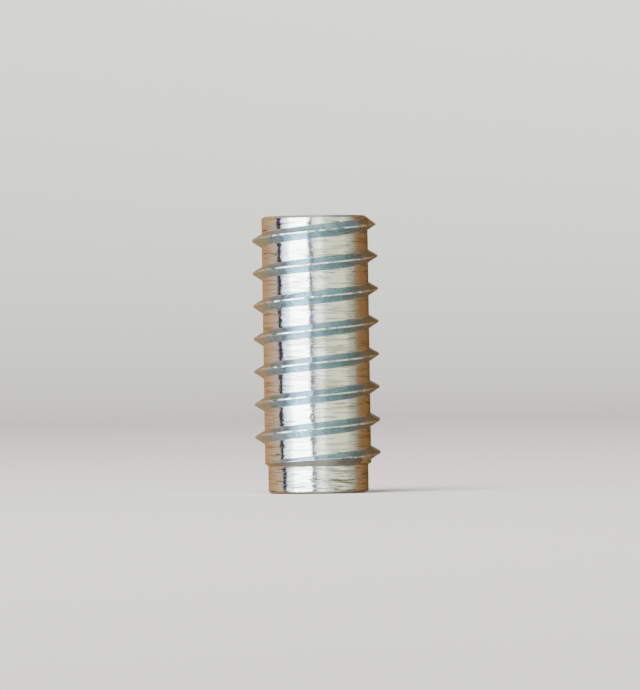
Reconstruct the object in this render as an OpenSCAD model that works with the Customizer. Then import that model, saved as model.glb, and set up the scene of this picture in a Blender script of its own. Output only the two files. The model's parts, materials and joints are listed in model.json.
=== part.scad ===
// Threaded steel insert for wood, one turned piece, in millimetres.
// It stands on its plain end: the origin is the centre of that face, and +Z runs to the drive end.

/* [Body] */
// Overall length
insert_len = 25.4; // [14:0.1:40]
// Diameter of the body between the turns of the outer thread
body_d = 9.75; // [9.3:0.05:14]
// Length of the plain end that guides the insert into its hole
pilot_len = 2.55; // [1:0.05:6]
// How far the plain end lies inside the body's surface
pilot_step = 0.275; // [0.05:0.025:0.4]
// Width of the bevels round the two end faces
end_bevel = 0.28; // [0.2:0.02:0.4]

/* [Outer thread] */
// Height of the ridge above the body
ridge_height = 0.875; // [0.3:0.025:2]
// Distance from one turn to the next
outer_pitch = 3; // [2:0.1:6]
// Width of the flat on the crest
crest_flat = 0.12; // [0.06:0.02:0.4]
// Angle of the flanks, the shoulder and the bevels, from the end face
flank_angle = 32; // [15:1:40]
// Height of the lowest crest at the front
crest_start = 2.95; // [1:0.05:6]
// Straight segments in one turn
turn_segments = 48; // [24:4:72]

/* [Screw hole] */
// Outside diameter of the screw that the insert takes
screw_d = 6.35; // [4:0.05:7]
// Pitch of that screw
screw_pitch = 1.27; // [0.7:0.01:1.5]

/* [Drive socket] */
// Room for the screw between the flats of the hex socket
screw_clearance = 0.1; // [0.05:0.05:0.3]
// Depth of the socket
socket_depth = 7; // [3:0.1:10]
// How far the bevel at the socket's mouth reaches past its corners
mouth_reach = 0.1; // [0.05:0.05:0.4]

/* [Hidden] */
$fn = 96;

slope = tan(flank_angle);
body_r = body_d / 2;
pilot_r = body_r - pilot_step;
face_r = body_r - end_bevel;
crest_r = body_r + ridge_height;

screw_r = screw_d / 2;
// The hole is bored to the screw's diameter less its pitch, which leaves the crests of the thread.
hole_r = (screw_d - screw_pitch) / 2;
hole_bevel = screw_r - hole_r;

flats_r = screw_r + screw_clearance / 2;
corner_r = flats_r / cos(30);
// The bevel at the mouth takes no more than half of the end face outside the corners.
mouth_r = min(corner_r + mouth_reach, (corner_r + face_r) / 2);
socket_floor = insert_len - socket_depth;

// The root of the ridge lies inside the body, so that the two are one solid.
root_r = body_r - end_bevel / 2;
// Strip of plain body between the bevels and the trimmed ends of the ridge
plain_strip = 0.05;
// The crest runs down to this far above the root at both ends of the ridge.
runout = 0.05;
// Cuts run this far past the faces that they open.
overrun = 1;

// Height where each end cone, which trims the ridge, would meet the crest
lower_trim_z = pilot_len + pilot_step * slope + plain_strip + ridge_height * slope;
upper_trim_z = insert_len - end_bevel * slope - plain_strip - ridge_height * slope;

// Height of the crest's middle at a step round the thread, if it isn't trimmed
function crest_z(step) = crest_start + outer_pitch * step / turn_segments;
// Axial length that each cone trims off the ridge there
function lower_trim(step) = max(0, lower_trim_z - crest_z(step) + crest_flat / 2);
function upper_trim(step) = max(0, crest_z(step) + crest_flat / 2 - upper_trim_z);
// Radius of the crest that is left
function tip_r(step) = crest_r - (lower_trim(step) + upper_trim(step)) / (2 * slope);

// Section of the ridge at a step: two corners at the root and two at the crest
function ridge_section(step) =
    let (
        angle = 360 * step / turn_segments - 90,
        lower_z = crest_z(step) - crest_flat / 2 + lower_trim(step),
        upper_z = crest_z(step) + crest_flat / 2 - upper_trim(step),
        tip = tip_r(step),
        corners = [
            [root_r, lower_z - (crest_r - root_r) * slope],
            [tip, lower_z - (crest_r - tip) * slope],
            [tip, upper_z + (crest_r - tip) * slope],
            [root_r, upper_z + (crest_r - root_r) * slope]
        ]
    )
    [for (c = corners) [c[0] * cos(angle), c[0] * sin(angle), c[1]]];

// Right-hand helical ridge, from where it rises out of the body to where it sinks back
module thread_ridge() {
    n = 4;
    last_step = ceil(insert_len / outer_pitch) * turn_segments;
    steps = [for (s = [-turn_segments:last_step]) if (tip_r(s) > root_r + runout) s];
    points = [for (s = steps) each ridge_section(s)];
    last = len(points) - n;
    sides = [
        for (i = [0:n:last - n], j = [0:n - 1])
            let (a = i + j, b = i + (j + 1) % n)
            each [[a, b, b + n], [a, b + n, a + n]]
    ];
    start_cap = [for (j = [n - 1:-1:0]) j];
    end_cap = [for (j = [0:n - 1]) last + j];
    polyhedron(points, concat([start_cap], sides, [end_cap]), convexity = 10);
}

// Body without its thread: plain end, shoulder and bevelled ends
module turned_body() {
    rotate_extrude()
        polygon([
            [0, 0],
            [pilot_r - end_bevel, 0],
            [pilot_r, end_bevel * slope],
            [pilot_r, pilot_len],
            [body_r, pilot_len + pilot_step * slope],
            [body_r, insert_len - end_bevel * slope],
            [face_r, insert_len],
            [0, insert_len]
        ]);
}

// Through hole for the screw, countersunk to the screw's diameter at both mouths
module screw_hole() {
    translate([0, 0, -overrun])
        cylinder(h = insert_len, r = hole_r);
    translate([0, 0, -overrun])
        cylinder(h = hole_bevel + overrun, r1 = screw_r + overrun, r2 = hole_r);
    translate([0, 0, socket_floor - hole_bevel])
        cylinder(h = hole_bevel, r1 = hole_r, r2 = screw_r);
}

// Hex socket that the driving key turns and the screw passes through
module drive_socket() {
    mouth_h = mouth_r - flats_r;
    translate([0, 0, socket_floor])
        cylinder(h = socket_depth + overrun, r = corner_r, $fn = 6);
    translate([0, 0, insert_len - mouth_h])
        cylinder(h = mouth_h + overrun, r1 = flats_r, r2 = mouth_r + overrun);
}

module insert() {
    color("silver")
        difference() {
            union() {
                turned_body();
                thread_ridge();
            }
            screw_hole();
            drive_socket();
        }
}

insert();
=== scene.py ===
import json
from math import cos, pi, radians, sin, tan

import bmesh
import bpy
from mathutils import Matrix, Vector

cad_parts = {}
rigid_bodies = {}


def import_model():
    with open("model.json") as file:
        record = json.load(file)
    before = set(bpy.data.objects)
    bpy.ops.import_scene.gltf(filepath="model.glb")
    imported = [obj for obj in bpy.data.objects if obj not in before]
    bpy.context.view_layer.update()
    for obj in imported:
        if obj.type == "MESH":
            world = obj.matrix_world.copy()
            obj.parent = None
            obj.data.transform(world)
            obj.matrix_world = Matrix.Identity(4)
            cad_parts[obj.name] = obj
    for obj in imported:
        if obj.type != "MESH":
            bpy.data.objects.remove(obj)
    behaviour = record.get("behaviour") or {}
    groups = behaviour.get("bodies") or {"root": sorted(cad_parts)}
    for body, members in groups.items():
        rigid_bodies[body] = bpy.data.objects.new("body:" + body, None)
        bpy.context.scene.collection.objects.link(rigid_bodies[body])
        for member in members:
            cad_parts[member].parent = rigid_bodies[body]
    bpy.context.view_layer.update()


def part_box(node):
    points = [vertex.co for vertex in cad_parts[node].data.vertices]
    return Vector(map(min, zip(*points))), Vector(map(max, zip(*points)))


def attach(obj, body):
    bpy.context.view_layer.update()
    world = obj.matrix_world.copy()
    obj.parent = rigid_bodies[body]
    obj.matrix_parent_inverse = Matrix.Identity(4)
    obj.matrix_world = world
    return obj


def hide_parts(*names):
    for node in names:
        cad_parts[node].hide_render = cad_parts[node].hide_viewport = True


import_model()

mm = 0.001
weld = mm / 1000                # points closer than this become one
cutTolerance = mm / 10000

lowCorner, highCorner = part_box("insert")
insertLength = highCorner.z - lowCorner.z
crestRadius = (highCorner.x - lowCorner.x) / 2


# small helpers for modelling

def deselectAll():
    if bpy.context.mode != "OBJECT":
        bpy.ops.object.mode_set(mode="OBJECT")
    bpy.ops.object.select_all(action="DESELECT")


def workOn(piece):
    deselectAll()
    piece.select_set(True)
    bpy.context.view_layer.objects.active = piece


def roundCorners(corners):
    # corners are (radius, height, rounding, arc steps); gives plain points with the arcs filled in
    points = []
    for i, (r, z, rounding, steps) in enumerate(corners):
        corner = Vector((r, 0, z))
        if rounding == 0:
            points.append(corner)
            continue
        back = (Vector((corners[i - 1][0], 0, corners[i - 1][1])) - corner).normalized()
        ahead = (Vector((corners[i + 1][0], 0, corners[i + 1][1])) - corner).normalized()
        half = back.angle(ahead) / 2
        centre = corner + (back + ahead).normalized() * rounding / sin(half)
        start = corner + back * rounding / tan(half) - centre
        end = corner + ahead * rounding / tan(half) - centre
        sweep = start.angle(end)
        for step in range(steps + 1):
            part = step / steps
            arm = (start * sin((1 - part) * sweep) + end * sin(part * sweep)) / sin(sweep)
            points.append(centre + arm)
    return points


def drawOutline(name, points):
    # a plane merged to one point, then extruded from point to point
    deselectAll()
    bpy.ops.mesh.primitive_plane_add(size=mm, location=(0, 0, 0))
    outline = bpy.context.object
    outline.name = name
    outline.data.name = name
    bpy.ops.object.mode_set(mode="EDIT")
    bpy.ops.mesh.merge(type="CENTER")
    bpy.ops.transform.translate(value=points[0])
    for here, there in zip(points, points[1:]):
        bpy.ops.mesh.extrude_region_move(TRANSFORM_OT_translate={"value": there - here})
    bpy.ops.object.mode_set(mode="OBJECT")
    return outline


def weldAll():
    bpy.ops.mesh.select_all(action="SELECT")
    bpy.ops.mesh.remove_doubles(threshold=weld)


def closeUp():
    weldAll()
    bpy.ops.mesh.normals_make_consistent(inside=False)
    bpy.ops.object.mode_set(mode="OBJECT")


def spinOutline(steps):
    # turns the outline in hand round the Z axis
    bpy.ops.object.mode_set(mode="EDIT")
    bpy.ops.mesh.select_all(action="SELECT")
    bpy.ops.mesh.spin(steps=steps, angle=2 * pi, center=(0, 0, 0), axis=(0, 0, 1))


def sweepThread(outline, pitch, turns, steps):
    # winds one pitch of outline up the axis, right-hand
    screw = outline.modifiers.new("wind", "SCREW")
    screw.axis = "Z"
    screw.angle = 2 * pi
    screw.screw_offset = pitch
    screw.iterations = turns
    screw.steps = steps
    screw.render_steps = steps
    bpy.ops.object.modifier_apply(modifier=screw.name)


def trimEnds(low, high):
    # cuts a wound thread off flat at both ends and closes them
    bpy.ops.object.mode_set(mode="EDIT")
    weldAll()
    bpy.ops.mesh.select_all(action="SELECT")
    bpy.ops.mesh.bisect(plane_co=(0, 0, low), plane_no=(0, 0, 1), use_fill=True,
                        clear_inner=True, threshold=cutTolerance)
    bpy.ops.mesh.select_all(action="SELECT")
    bpy.ops.mesh.bisect(plane_co=(0, 0, high), plane_no=(0, 0, 1), use_fill=True,
                        clear_outer=True, threshold=cutTolerance)
    closeUp()


def combine(piece, tool, operation):
    workOn(piece)
    boolean = piece.modifiers.new("combine", "BOOLEAN")
    boolean.operation = operation
    boolean.solver = "MANIFOLD"
    boolean.object = tool
    bpy.ops.object.modifier_apply(modifier=boolean.name)
    bpy.data.objects.remove(tool)


# the camera

cameraLook = {
    "distance": 0.6,
    "frameHeight": 63.3 * mm,       # what the frame takes in at the insert
    "aimHeight": 13.57 * mm,
    "aimSide": 0.33 * mm,
    "lean": radians(0.92),          # the camera's roll, so the insert leans to the left
    "sensor": 36,
    "nearest": 0.01,
    "furthest": 10,
}


def makeCamera(look):
    deselectAll()
    bpy.ops.object.camera_add(location=(look["aimSide"], -look["distance"], look["aimHeight"]),
                              rotation=(radians(90), look["lean"], 0))
    camera = bpy.context.object
    camera.data.sensor_width = look["sensor"]
    camera.data.lens = look["sensor"] * look["distance"] / look["frameHeight"]
    camera.data.clip_start = look["nearest"]
    camera.data.clip_end = look["furthest"]
    bpy.context.scene.camera = camera
    print("camera placed")


# the insert itself

insertLook = {
    "bodyRadius": 4.875 * mm,
    "pitch": 3 * mm,
    "crestHeightAtFront": 2.95 * mm,    # above the plain end
    "crestFlat": 0.14 * mm,
    "crestRound": 0.05 * mm,
    "rootRound": 0.06 * mm,
    "bodyHold": 0.16 * mm,              # a row this far from the ridge keeps the body's shading flat
    "upperFlank": radians(29.5),        # from the end face's plane
    "lowerFlank": radians(33),
    "turns": 10,                        # wound, some more than the length needs
    "turnSteps": 192,
    "overrun": 0.5 * mm,                # how far the bar and the blank stand past the finished size
    "nickReach": 0.06 * mm,
    "nicks": [(0.03, 4, 0.025 * mm), (0.01, 9, 0.05 * mm)],      # share of points, seed, depth
    "pilotRadius": 4.6 * mm,
    "plainEndBevel": 0.28 * mm,
    "plainEndRise": 0.75,               # the bevel's height for its width
    "plainEndRound": 0.05 * mm,
    "shoulderStart": 2.56 * mm,
    "shoulderSlope": radians(31),
    "shoulderRound": 0.2 * mm,
    "shoulderEdge": 0.1 * mm,           # how far its edge on the first turn is rounded back
    "shoulderEdgeFrom": 0.08 * mm,      # where that edge begins, off the body
    "shoulderEdgeWeld": 0.02 * mm,
    "topRadius": 4.6 * mm,
    "topSlope": radians(37),
    "topRound": 0.04 * mm,
    "holeRadius": 2.54 * mm,
    "screwRadius": 3.175 * mm,
    "screwPitch": 1.27 * mm,
    "screwTurns": 20,
    "screwFlank": radians(30),
    "screwRunOut": 0.2 * mm,            # how far its thread runs on into the socket
    "socketFlats": 6.45 * mm,
    "socketDepth": 7 * mm,
    "mouthReach": 0.1 * mm,
    "boreSteps": 96,
    "boreEase": 0.3 * mm,               # how much slimmer than the screw it is inside the socket
    "boreRise": 0.2 * mm,               # the height over which it narrows to that
    "cutterPast": 1 * mm,               # how far the cutters stand out of the ends
    "smoothAngle": radians(30),
}


def ridgeOutline(look):
    # one pitch of the outer thread, crest in the middle
    body, crest = look["bodyRadius"], crestRadius
    halfPitch = look["pitch"] / 2
    halfFlat = look["crestFlat"] / 2
    height = crest - body
    below = halfFlat + height * tan(look["lowerFlank"])
    above = halfFlat + height * tan(look["upperFlank"])
    return roundCorners([
        (body, -halfPitch, 0, 0),
        (body, -below - look["bodyHold"], 0, 0),
        (body, -below, look["rootRound"], 5),
        (crest, -halfFlat, look["crestRound"], 4),
        (crest, halfFlat, look["crestRound"], 4),
        (body, above, look["rootRound"], 5),
        (body, above + look["bodyHold"], 0, 0),
        (body, halfPitch, 0, 0),
    ])


def makeThreadBar(look):
    # the crest stands a quarter turn further on at +X than at the front
    crestAtRight = look["crestHeightAtFront"] + look["pitch"] / 4
    start = Vector((0, 0, crestAtRight - 2 * look["pitch"]))
    bar = drawOutline("threadBar", [point + start for point in ridgeOutline(look)])
    sweepThread(bar, look["pitch"], look["turns"], look["turnSteps"])
    nickCrest(bar, look)
    trimEnds(-look["overrun"], insertLength + look["overrun"])
    print("outer thread wound:", len(bar.data.polygons), "faces")
    return bar


def nickCrest(bar, look):
    # small dents from handling: a few crest points at a time are pressed inwards
    for share, seed, press in look["nicks"]:
        for vertex in bar.data.vertices:
            vertex.select = vertex.co.xy.length > crestRadius - look["nickReach"]
        bpy.ops.object.mode_set(mode="EDIT")
        bpy.ops.mesh.select_mode(type="VERT")
        bpy.ops.mesh.select_random(ratio=1 - share, seed=seed, action="DESELECT")
        bpy.ops.mesh.select_more()
        inwards = 1 - press / crestRadius
        bpy.ops.transform.resize(value=(inwards, inwards, 1), center_override=(0, 0, 0))
        bpy.ops.mesh.select_all(action="DESELECT")
        bpy.ops.object.mode_set(mode="OBJECT")


def makeTurnedBlank(look):
    # what the lathe leaves: plain end, shoulder cone, outer limit and the cone at the drive end
    wide = crestRadius + look["overrun"]
    pilot = look["pilotRadius"]
    shoulderTop = look["shoulderStart"] + (wide - pilot) * tan(look["shoulderSlope"])
    topDrop = (wide - look["topRadius"]) * tan(look["topSlope"])
    bevel = look["plainEndBevel"]
    points = roundCorners([
        (0, 0, 0, 0),
        (pilot - bevel, 0, look["plainEndRound"], 3),
        (pilot, bevel * look["plainEndRise"], look["plainEndRound"], 3),
        (pilot, look["shoulderStart"], look["shoulderRound"], 4),
        (wide, shoulderTop, 0, 0),
        (wide, insertLength - topDrop, 0, 0),
        (look["topRadius"], insertLength, look["topRound"], 3),
        (0, insertLength, 0, 0),
    ])
    blank = drawOutline("turnedBlank", points)
    spinOutline(look["turnSteps"])
    closeUp()
    return blank


def makeScrewThread(look):
    # the male form that cuts the inner thread, its crests an eighth of the pitch wide
    minor, major, pitch = look["holeRadius"], look["screwRadius"], look["screwPitch"]
    halfCrest = pitch / 16
    halfRoot = halfCrest + (major - minor) * tan(look["screwFlank"])
    start = Vector((0, 0, -3 * pitch))
    points = [
        Vector((minor, 0, -pitch / 2)),
        Vector((minor, 0, -halfRoot)),
        Vector((major, 0, -halfCrest)),
        Vector((major, 0, halfCrest)),
        Vector((minor, 0, halfRoot)),
        Vector((minor, 0, pitch / 2)),
    ]
    cutter = drawOutline("screwThread", [point + start for point in points])
    sweepThread(cutter, pitch, look["screwTurns"], look["boreSteps"])
    trimEnds(-look["cutterPast"], insertLength - look["socketDepth"] + look["screwRunOut"])
    return cutter


def socketCorner(look):
    # from the axis to a corner of the hexagon
    return look["socketFlats"] / 2 / cos(radians(30))


def makeBoreCutter(look):
    # countersinks at both ends of the screw hole, the bore through, and the socket's bevelled mouth
    floor = insertLength - look["socketDepth"]
    minor, major = look["holeRadius"], look["screwRadius"]
    sink = major - minor
    mouth = socketCorner(look) + look["mouthReach"]
    ease, past = look["boreEase"], look["cutterPast"]
    points = roundCorners([
        (0, -past, 0, 0),
        (major + past, -past, 0, 0),
        (minor, sink, 0, 0),
        (minor, floor - sink, 0, 0),
        (major, floor, 0, 0),
        (major - ease, floor + look["boreRise"], 0, 0),
        (major - ease, insertLength - (mouth - major) - ease, 0, 0),
        (mouth + past, insertLength + past, 0, 0),
        (0, insertLength + past, 0, 0),
    ])
    cutter = drawOutline("boreCutter", points)
    spinOutline(look["boreSteps"])
    closeUp()
    return cutter


def makeSocketCutter(look):
    # a hexagonal bar for the key, corners on the X axis
    depth = look["socketDepth"] + look["cutterPast"]
    middle = insertLength + look["cutterPast"] - depth / 2
    deselectAll()
    bpy.ops.mesh.primitive_cylinder_add(vertices=6, radius=socketCorner(look), depth=depth,
                                        location=(0, 0, middle), rotation=(0, 0, radians(30)))
    cutter = bpy.context.object
    bpy.ops.object.transform_apply(location=True, rotation=True, scale=True)
    return cutter


def pickShoulderEdge(look):
    # the sharp edges where the shoulder cone cuts through the ridge
    mesh = bmesh.from_edit_mesh(bpy.context.object.data)
    slope = tan(look["shoulderSlope"])
    innerLimit = look["bodyRadius"] + look["shoulderEdgeFrom"]
    nearCone = 0.003 * mm
    sharp = radians(45)
    for edge in mesh.edges:
        radii = [vertex.co.xy.length for vertex in edge.verts]
        overCone = [vertex.co.z - look["shoulderStart"] - slope * (radius - look["pilotRadius"])
                    for vertex, radius in zip(edge.verts, radii)]
        onCone = all(abs(rise) < nearCone for rise in overCone)
        if onCone and min(radii) > innerLimit and edge.calc_face_angle(0) > sharp:
            edge.select_set(True)
    bmesh.update_edit_mesh(bpy.context.object.data)


def roundShoulderEdge(look):
    bpy.ops.mesh.select_all(action="DESELECT")
    bpy.ops.mesh.select_mode(type="VERT")
    pickShoulderEdge(look)
    bpy.ops.mesh.remove_doubles(threshold=look["shoulderEdgeWeld"])
    bpy.ops.mesh.select_all(action="DESELECT")
    bpy.ops.mesh.select_mode(type="EDGE")
    pickShoulderEdge(look)
    bpy.ops.mesh.bevel(offset=look["shoulderEdge"], segments=4, profile=0.5, affect="EDGES")
    bpy.ops.mesh.select_mode(type="VERT")


def makeInsert(look):
    insert = makeThreadBar(look)
    combine(insert, makeTurnedBlank(look), "INTERSECT")
    print("shoulder, plain end and end bevel turned")
    combine(insert, makeScrewThread(look), "DIFFERENCE")
    combine(insert, makeBoreCutter(look), "DIFFERENCE")
    combine(insert, makeSocketCutter(look), "DIFFERENCE")
    print("screw hole and socket cut")
    insert.name = "zincInsert"
    insert.data.name = "zincInsert"
    workOn(insert)
    bpy.ops.object.mode_set(mode="EDIT")
    roundShoulderEdge(look)             # only after the cuts, because they fail on a bevelled edge
    closeUp()
    bpy.ops.object.shade_smooth_by_angle(angle=look["smoothAngle"])
    print("insert modelled:", len(insert.data.polygons), "faces")
    return insert


# small helpers for nodes

def newNode(tree, kind, **settings):
    node = tree.nodes.new(kind)
    for key, value in settings.items():
        setattr(node, key, value)
    return node


def feed(tree, value, socket):
    # a number or colour is set, a socket is linked
    if isinstance(value, bpy.types.NodeSocket):
        tree.links.new(value, socket)
    else:
        socket.default_value = value


def mathNode(tree, operation, first, second=0.0):
    node = newNode(tree, "ShaderNodeMath", operation=operation)
    feed(tree, first, node.inputs[0])
    feed(tree, second, node.inputs[1])
    return node.outputs[0]


def plus(tree, first, second):
    return mathNode(tree, "ADD", first, second)


def minus(tree, first, second):
    return mathNode(tree, "SUBTRACT", first, second)


def times(tree, first, second):
    return mathNode(tree, "MULTIPLY", first, second)


def smoothBetween(tree, value, low, high, start=0.0, end=1.0):
    node = newNode(tree, "ShaderNodeMapRange", interpolation_type="SMOOTHSTEP")
    feed(tree, value, node.inputs["Value"])
    node.inputs["From Min"].default_value = low
    node.inputs["From Max"].default_value = high
    node.inputs["To Min"].default_value = start
    node.inputs["To Max"].default_value = end
    return node.outputs["Result"]


def mixColours(tree, factor, first, second):
    node = newNode(tree, "ShaderNodeMix", data_type="RGBA", blend_type="MIX")
    feed(tree, factor, node.inputs["Factor"])
    feed(tree, first, node.inputs[6])
    feed(tree, second, node.inputs[7])
    return node.outputs[2]


def splitAxes(tree, vector):
    node = newNode(tree, "ShaderNodeSeparateXYZ")
    feed(tree, vector, node.inputs[0])
    return node.outputs


def noiseOf(tree, vector, scale, detail, offset):
    place = newNode(tree, "ShaderNodeMapping")
    place.inputs["Scale"].default_value = [cycles / mm for cycles in scale]
    place.inputs["Location"].default_value = offset
    feed(tree, vector, place.inputs["Vector"])
    noise = newNode(tree, "ShaderNodeTexNoise")
    noise.inputs["Scale"].default_value = 1
    noise.inputs["Detail"].default_value = detail
    feed(tree, place.outputs[0], noise.inputs["Vector"])
    return noise.outputs["Fac"]


# the finish

zincLook = {
    "bodyColour": (0.86, 0.91, 0.93, 1),
    "streakColour": (0.54, 0.54, 0.48, 1),
    "dashColour": (0.28, 0.28, 0.26, 1),
    # the flanks' teal and darker tone are partly the chromate's own tint and partly a painted
    # reflection of a bluish surround; grain mottles them
    "flankColour": (0.53, 0.71, 0.79, 1),
    "flankDarkColour": (0.39, 0.56, 0.62, 1),
    # dark and warm on the down-facing faces below the shoulder line: painted shade with a painted
    # warm reflection
    "shoulderShadeColour": (0.42, 0.40, 0.34, 1),
    "bevelColour": (0.92, 0.90, 0.86, 1),
    # the crest's colour is a painted highlight, brighter than the body, and noise dims it in patches
    # as painted glints
    "crestHighlightColour": (0.93, 0.98, 1.0, 1),
    "crestDimHighlightColour": (0.66, 0.75, 0.79, 1),
    # darker within about 4 mm of the axis, in the screw hole, the socket and the end faces round
    # them: painted shade
    "insideShadeColour": (0.62, 0.66, 0.68, 1),
    "bodyRoughness": 0.17,
    "flankRoughness": 0.215,
    "anisotropy": 0.95,
    "anisotropyTurn": 0.25,             # the turning marks spread the gloss along the insert
    "streakDepth": 0.013 * mm,
    "wobbleDepth": 0.024 * mm,
    "grainDepth": 0.014 * mm,

    # noises: cycles per millimetre along x, y and z, detail, and a shift so that no two line up
    "turning": ((0.3, 0.3, 5.2), 2.0, (0, 0, 0)),
    "patches": ((0.5, 0.5, 1.2), 1.0, (7, 3, 1)),
    "wobble": ((1.5, 1.5, 3.2), 1.0, (2, 5, 9)),
    "grain": ((3.6, 3.6, 5), 2.0, (4, 4, 4)),
    "dashes": ((0.35, 0.35, 4.6), 1.0, (3, 8, 6)),
    # breaks the crest's painted highlight into brighter and dimmer patches
    "crestMottle": ((2.2, 2.2, 2.2), 2.0, (6, 1, 2)),

    # where each noise takes effect
    "streakFade": (0.32, 0.52),
    "patchFade": (0.35, 0.65),
    "grainFade": (0.38, 0.62),
    "crestMottleFade": (0.36, 0.5),
    "dashLimit": 0.28,
    "plainEndDashes": 0.09,             # added to the limit on the plain end
    "shallowMarks": 0.35,               # of their full depth, between the patches
    "plainEndMarks": 1.6,

    # where one region gives way to the next
    "ridgeFade": (0.003 * mm, 0.03 * mm),       # outside the body
    "crestFade": (0.07 * mm, 0.02 * mm),        # inside the crest
    "coneFade": (0.01 * mm, 0.05 * mm),         # off a turned cone
    "highlightEdgeStart": (0.01 * mm, 0.03 * mm),        # above the shoulder cone; the band of painted highlight on the rounded edge
    "highlightEdgeEnd": (0.11 * mm, 0.15 * mm),
    "slopeFade": (0.3, 0.5),                    # how far a cone's face turns up or down
    "insideFade": (4.0 * mm, 4.25 * mm),        # from the axis
    "plainEndFade": (2.3 * mm, 2.9 * mm),       # up from the plain end
}


def findRegions(tree, look, shape, place, normal):
    # a mask from 0 to 1 for each region, worked out from radius, height and slope
    x, y, z = splitAxes(tree, place)
    radius = mathNode(tree, "SQRT", plus(tree, times(tree, x, x), times(tree, y, y)))
    body = shape["bodyRadius"]
    shoulderTan, topTan = tan(shape["shoulderSlope"]), tan(shape["topSlope"])
    shoulder = plus(tree, times(tree, radius, shoulderTan),
                    shape["shoulderStart"] - shape["pilotRadius"] * shoulderTan)
    overShoulder = minus(tree, z, shoulder)
    topCone = plus(tree, times(tree, radius, -topTan), insertLength + shape["topRadius"] * topTan)

    onRidge = smoothBetween(tree, radius, *[body + off for off in look["ridgeFade"]])
    onCrest = smoothBetween(tree, radius, *[crestRadius - off for off in look["crestFade"]])
    aboveShoulder = smoothBetween(tree, overShoulder, *look["coneFade"])
    belowTop = smoothBetween(tree, minus(tree, topCone, z), *look["coneFade"])
    uncut = times(tree, aboveShoulder, belowTop)
    turnedUp = mathNode(tree, "ABSOLUTE", splitAxes(tree, normal)[2])
    sloping = smoothBetween(tree, turnedUp, *look["slopeFade"])
    # a thin band on the ridge just above the shoulder cone, which gets a painted highlight along the
    # rounded edge
    highlightEdgeStart = smoothBetween(tree, overShoulder, *look["highlightEdgeStart"])
    highlightEdgeEnd = smoothBetween(tree, overShoulder, *look["highlightEdgeEnd"], 1.0, 0.0)
    return {
        "flank": times(tree, onRidge, uncut),
        "crest": times(tree, onCrest, uncut),
        # faces sloping below the shoulder line, which get painted shade
        "shoulder": times(tree, sloping, minus(tree, 1.0, aboveShoulder)),
        "bevel": times(tree, sloping, minus(tree, 1.0, belowTop)),
        "edge": times(tree, onRidge, times(tree, highlightEdgeStart, highlightEdgeEnd)),
        "inside": smoothBetween(tree, radius, *look["insideFade"], 1.0, 0.0),
        "plainEnd": smoothBetween(tree, z, *look["plainEndFade"], 1.0, 0.0),
    }


def mixZincColour(tree, look, regions, noises, streak):
    body = mixColours(tree, streak, look["streakColour"], look["bodyColour"])
    dashLimit = plus(tree, look["dashLimit"],
                     times(tree, regions["plainEnd"], look["plainEndDashes"]))
    dashed = mathNode(tree, "LESS_THAN", noises["dashes"], dashLimit)
    body = mixColours(tree, dashed, body, look["dashColour"])
    grain = smoothBetween(tree, noises["grain"], *look["grainFade"])
    # flank colour: chromate tint with a painted reflection, mottled by grain
    flank = mixColours(tree, grain, look["flankDarkColour"], look["flankColour"])
    # the crest's painted highlight, dimmed in patches by noise as painted glints
    crestMottle = smoothBetween(tree, noises["crestMottle"], *look["crestMottleFade"])
    crest = mixColours(tree, crestMottle, look["crestDimHighlightColour"], look["crestHighlightColour"])
    colour = mixColours(tree, regions["flank"], body, flank)
    colour = mixColours(tree, regions["crest"], colour, crest)
    # painted shade on the down-facing shoulder cone and the plain end's bevel and face
    colour = mixColours(tree, regions["shoulder"], colour, look["shoulderShadeColour"])
    colour = mixColours(tree, regions["bevel"], colour, look["bevelColour"])
    # painted highlight: the rounded shoulder edge on the first turn takes the crest's bright colour
    colour = mixColours(tree, regions["edge"], colour, crest)
    # painted shade in and around the hole and socket
    return mixColours(tree, regions["inside"], colour, look["insideShadeColour"])


def makeHeight(tree, look, regions, noises, streak):
    # turning marks come and go on the body and are deepest on the plain end; flanks are grained
    patchy = smoothBetween(tree, noises["patches"], *look["patchFade"], look["shallowMarks"], 1.0)
    onPlainEnd = times(tree, regions["plainEnd"], look["plainEndMarks"])
    strength = mathNode(tree, "MAXIMUM", patchy, onPlainEnd)
    marks = times(tree, streak, times(tree, strength, look["streakDepth"]))
    turned = plus(tree, marks, times(tree, noises["wobble"], look["wobbleDepth"]))
    rolled = times(tree, noises["grain"], look["grainDepth"])
    offFlank = minus(tree, 1.0, regions["flank"])
    return plus(tree, times(tree, turned, offFlank), times(tree, rolled, regions["flank"]))


def makeZincPlate(look, shape):
    material = bpy.data.materials.new("zincPlate")
    material.use_nodes = True
    tree = material.node_tree
    shader = tree.nodes["Principled BSDF"]
    coordinates = newNode(tree, "ShaderNodeTexCoord")
    place = coordinates.outputs["Object"]
    regions = findRegions(tree, look, shape, place, coordinates.outputs["Normal"])
    kinds = ("turning", "patches", "wobble", "grain", "dashes", "crestMottle")
    noises = {kind: noiseOf(tree, place, *look[kind]) for kind in kinds}
    streak = smoothBetween(tree, noises["turning"], *look["streakFade"])

    colour = mixZincColour(tree, look, regions, noises, streak)
    feed(tree, colour, shader.inputs["Base Color"])
    rougher = look["flankRoughness"] - look["bodyRoughness"]
    roughness = plus(tree, look["bodyRoughness"], times(tree, regions["flank"], rougher))
    feed(tree, roughness, shader.inputs["Roughness"])
    shader.inputs["Metallic"].default_value = 1
    shader.inputs["Anisotropic"].default_value = look["anisotropy"]
    shader.inputs["Anisotropic Rotation"].default_value = look["anisotropyTurn"]
    tangent = newNode(tree, "ShaderNodeTangent", direction_type="RADIAL", axis="Z")
    feed(tree, tangent.outputs[0], shader.inputs["Tangent"])

    bump = newNode(tree, "ShaderNodeBump")
    bump.inputs["Strength"].default_value = 1
    bump.inputs["Distance"].default_value = 1
    feed(tree, makeHeight(tree, look, regions, noises, streak), bump.inputs["Height"])
    feed(tree, bump.outputs[0], shader.inputs["Normal"])
    print("zinc plate made:", len(tree.nodes), "nodes")
    return material


# the studio

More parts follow.
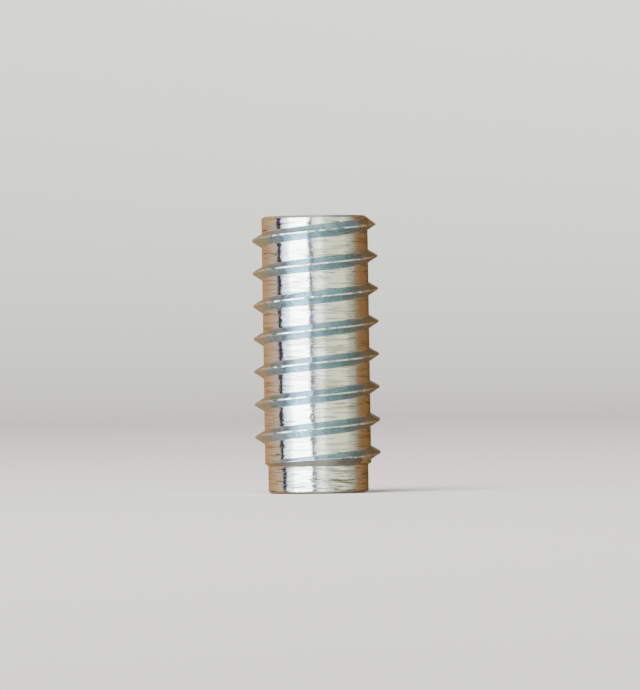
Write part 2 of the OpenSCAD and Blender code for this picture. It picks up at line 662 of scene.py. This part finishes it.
studioLook = {
    "power": 12.0,              # the brightest light; every colour below is absolute, up to this

    # light all round in three rows: near the level, well above or below it, and high or low.
    # each stop is a bearing from the front, in degrees to the right, and a colour
    "level": [
        (-180, (0.36, 0.36, 0.34)),
        (-174, (0.36, 0.36, 0.34)),
        (-168, (0.60, 0.30, 0.11)),
        (-130, (0.64, 0.39, 0.20)),
        (-104, (0.76, 0.52, 0.32)),
        (-92, (0.77, 0.59, 0.38)),
        (-89.5, (0.02, 0.022, 0.05)),
        (-80.5, (0.03, 0.033, 0.07)),
        (-77.5, (1.3, 1.6, 1.9)),
        (-62, (4.0, 4.3, 4.5)),
        (-52, (11.0, 11.0, 11.0)),
        (-17, (12.0, 12.0, 12.0)),
        (-14, (0.34, 0.32, 0.40)),
        (-7, (0.40, 0.40, 0.46)),
        (-3, (2.0, 2.2, 2.1)),
        (9, (3.6, 3.5, 2.7)),
        (22, (1.45, 1.55, 1.35)),
        (40, (1.38, 1.36, 0.96)),
        (65, (1.34, 1.32, 0.84)),
        (76, (0.76, 0.76, 0.55)),
        (92, (0.43, 0.41, 0.31)),
        (98, (0.37, 0.24, 0.12)),
        (112, (0.285, 0.155, 0.055)),
        (130, (0.27, 0.145, 0.05)),
        (168, (0.15, 0.075, 0.02)),
        (174, (0.36, 0.36, 0.34)),
        (180, (0.36, 0.36, 0.34)),
    ],
    "aslant": [
        (-180, (0.30, 0.28, 0.25)),
        (-177, (0.80, 0.38, 0.12)),
        (-154, (0.62, 0.38, 0.19)),
        (-128, (0.62, 0.48, 0.41)),
        (-114, (0.80, 0.56, 0.49)),
        (-91, (0.74, 0.54, 0.46)),
        (-88.5, (0.02, 0.022, 0.05)),
        (-81, (0.03, 0.033, 0.07)),
        (-78, (1.0, 1.1, 1.2)),
        (-52, (2.2, 2.3, 2.4)),
        (-17, (2.6, 2.6, 2.6)),
        (-14, (0.34, 0.32, 0.40)),
        (-7, (0.40, 0.40, 0.46)),
        (-3, (0.7, 0.7, 0.7)),
        (22, (0.20, 0.21, 0.19)),
        (90, (0.20, 0.21, 0.18)),
        (99, (0.38, 0.29, 0.21)),
        (114, (0.58, 0.34, 0.23)),
        (128, (0.49, 0.31, 0.23)),
        (154, (0.27, 0.14, 0.06)),
        (177, (0.19, 0.09, 0.022)),
        (180, (0.30, 0.28, 0.25)),
    ],
    "high": [
        (-180, (0.36, 0.42, 0.44)),
        (-150, (0.45, 0.45, 0.45)),
        (-99, (1.10, 0.92, 0.84)),
        (-83, (1.05, 1.0, 1.05)),
        (-66, (0.50, 0.52, 0.56)),
        (-46, (0.35, 0.75, 0.85)),
        (-16, (0.30, 0.62, 0.72)),
        (-10, (1.3, 1.38, 1.4)),
        (24, (1.10, 1.20, 1.3)),
        (46, (0.68, 0.71, 0.76)),
        (66, (0.54, 0.56, 0.60)),
        (99, (0.60, 0.48, 0.46)),
        (140, (0.25, 0.26, 0.27)),
        (180, (0.36, 0.42, 0.44)),
    ],
    "top": (1.1, 1.08, 1.02),       # straight up and down
    "levelToAslant": (13, 20),      # where one row gives way to the next, in degrees
    "aslantToHigh": (39, 49),
    "highToTop": (64, 76),

    "backdropRadius": 0.9,
    "backdropMiddle": 0.2,          # of the radius, a flat disc in the floor
    "backdropCurve": 0.3,
    "backdropHeight": 0.55,
    "backdropSteps": 96,
    "paperColour": (0.80, 0.79, 0.77, 1),
    "paperRoughness": 0.95,

    "overheadPower": 5.0,
    "overheadSize": 0.35,
    "overheadPlace": (-0.15, -0.2, 0.6),
    "overheadAim": (0, 0, 0.01),
}


def lightRow(tree, turn, stops, power):
    node = newNode(tree, "ShaderNodeValToRGB")
    ramp = node.color_ramp
    ramp.elements.remove(ramp.elements[1])
    for i, (bearing, colour) in enumerate(stops):
        position = (bearing + 180) / 360
        element = ramp.elements[0] if i == 0 else ramp.elements.new(position)
        element.position = position
        element.color = [part / power for part in colour] + [1]
    feed(tree, turn, node.inputs[0])
    return node.outputs[0]


def riseBetween(tree, height, angles):
    return smoothBetween(tree, height, *[sin(radians(angle)) for angle in angles])


def makeWorld(look):
    world = bpy.data.worlds.new("studio")
    bpy.context.scene.world = world
    world.use_nodes = True
    tree = world.node_tree
    background = tree.nodes["Background"]
    x, y, z = splitAxes(tree, newNode(tree, "ShaderNodeTexCoord").outputs["Generated"])
    bearing = mathNode(tree, "ARCTAN2", x, times(tree, y, -1.0))
    turn = plus(tree, mathNode(tree, "DIVIDE", bearing, 2 * pi), 0.5)
    height = mathNode(tree, "ABSOLUTE", z)
    level, aslant, high = [lightRow(tree, turn, look[row], look["power"])
                           for row in ("level", "aslant", "high")]
    top = [part / look["power"] for part in look["top"]] + [1]
    colour = mixColours(tree, riseBetween(tree, height, look["levelToAslant"]), level, aslant)
    colour = mixColours(tree, riseBetween(tree, height, look["aslantToHigh"]), colour, high)
    colour = mixColours(tree, riseBetween(tree, height, look["highToTop"]), colour, top)
    feed(tree, colour, background.inputs["Color"])
    background.inputs["Strength"].default_value = look["power"]
    print("studio light painted")


def makeBackdrop(look):
    # a round sweep: floor, curve and wall in one, seen by the camera and lit, but not mirrored
    radius = look["backdropRadius"]
    points = roundCorners([
        (0, 0, 0, 0),
        (radius * look["backdropMiddle"], 0, 0, 0),
        (radius, 0, look["backdropCurve"], 16),
        (radius, look["backdropHeight"], 0, 0),
    ])
    backdrop = drawOutline("backdrop", points)
    spinOutline(look["backdropSteps"])
    weldAll()
    bpy.ops.object.mode_set(mode="OBJECT")
    bpy.ops.object.shade_smooth()
    paper = bpy.data.materials.new("paper")
    paper.use_nodes = True
    shader = paper.node_tree.nodes["Principled BSDF"]
    shader.inputs["Base Color"].default_value = look["paperColour"]
    shader.inputs["Roughness"].default_value = look["paperRoughness"]
    shader.inputs["Specular IOR Level"].default_value = 0
    backdrop.data.materials.append(paper)
    backdrop.visible_glossy = False
    backdrop.visible_shadow = False
    backdrop.visible_diffuse = False
    print("backdrop made")


def makeLamp(look):
    deselectAll()
    bpy.ops.object.light_add(type="AREA", location=look["overheadPlace"])
    lamp = bpy.context.object
    lamp.name = "overhead"
    lamp.data.shape = "DISK"
    lamp.data.size = look["overheadSize"]
    lamp.data.energy = look["overheadPower"]
    aim = Vector(look["overheadAim"]) - lamp.location
    lamp.rotation_euler = aim.to_track_quat("-Z", "Y").to_euler()
    lamp.visible_glossy = False
    lamp.visible_camera = False
    print("overhead lamp placed")


makeCamera(cameraLook)
zincInsert = makeInsert(insertLook)
zincInsert.data.materials.clear()
zincInsert.data.materials.append(makeZincPlate(zincLook, insertLook))
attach(zincInsert, "root")
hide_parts("insert")
makeWorld(studioLook)
makeBackdrop(studioLook)
makeLamp(studioLook)
